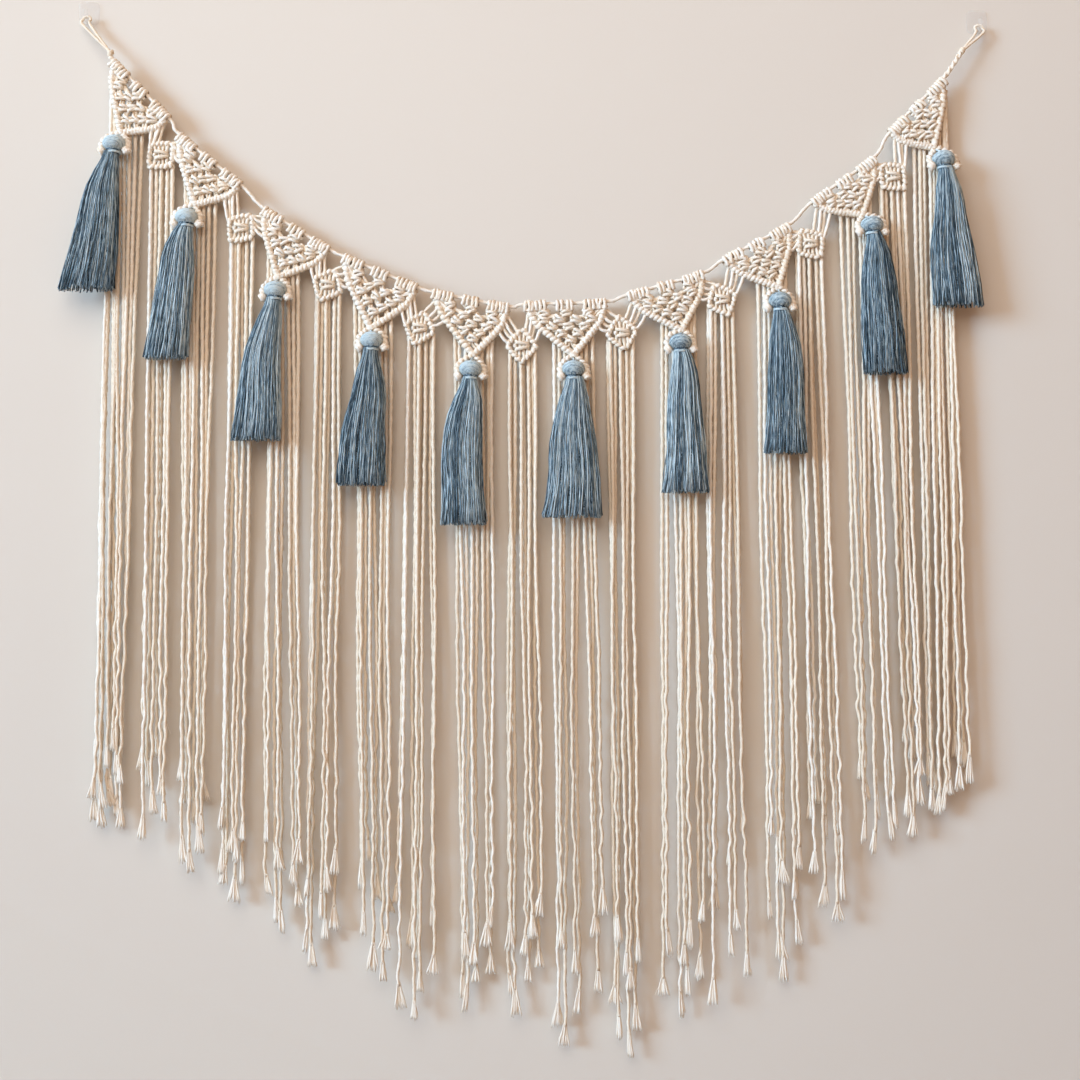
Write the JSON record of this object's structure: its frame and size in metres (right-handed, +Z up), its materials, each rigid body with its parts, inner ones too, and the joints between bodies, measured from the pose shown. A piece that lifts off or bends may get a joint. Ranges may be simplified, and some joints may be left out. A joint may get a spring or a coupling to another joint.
{
  "type": "macrame garland with two wall hooks",
  "caption": "Cream cotton macrame garland of knotted pennants and diamonds with blue yarn tassels and a long cord fringe, hung as a swag from clear wall hooks.",
  "frame": {"origin": "on the wall, midway between the two hooks, 5.5 mm below the mean height of their seats", "axes": "+X to the right, +Y into the wall, +Z up; the front of the garland faces -Y"},
  "size_m": [0.9402, 0.036, 1.063],
  "materials": {
    "cotton": "matt twisted cotton cord",
    "yarn": "matt soft yarn",
    "plastic": "clear gloss"
  },
  "bodies": {
    "root": {"heading_cord": "cotton", "pennant_01": "cotton", "pennant_02": "cotton", "pennant_03": "cotton", "pennant_04": "cotton", "pennant_05": "cotton", "pennant_06": "cotton", "pennant_07": "cotton", "pennant_08": "cotton", "pennant_09": "cotton", "pennant_10": "cotton", "pennant_fringe_01": "cotton", "pennant_fringe_02": "cotton", "pennant_fringe_03": "cotton", "pennant_fringe_04": "cotton", "pennant_fringe_05": "cotton", "pennant_fringe_06": "cotton", "pennant_fringe_07": "cotton", "pennant_fringe_08": "cotton", "pennant_fringe_09": "cotton", "pennant_fringe_10": "cotton", "diamond_01": "cotton", "diamond_02": "cotton", "diamond_03": "cotton", "diamond_04": "cotton", "diamond_05": "cotton", "diamond_06": "cotton", "diamond_07": "cotton", "diamond_08": "cotton", "diamond_09": "cotton", "diamond_fringe_01": "cotton", "diamond_fringe_02": "cotton", "diamond_fringe_03": "cotton", "diamond_fringe_04": "cotton", "diamond_fringe_05": "cotton", "diamond_fringe_06": "cotton", "diamond_fringe_07": "cotton", "diamond_fringe_08": "cotton", "diamond_fringe_09": "cotton", "end_fringe_left": "cotton", "end_fringe_right": "cotton", "tassel_01": "yarn", "tassel_02": "yarn", "tassel_03": "yarn", "tassel_04": "yarn", "tassel_05": "yarn", "tassel_06": "yarn", "tassel_07": "yarn", "tassel_08": "yarn", "tassel_09": "yarn", "tassel_10": "yarn", "hook_left": "plastic", "hook_right": "plastic"}
  },
  "joints": []
}
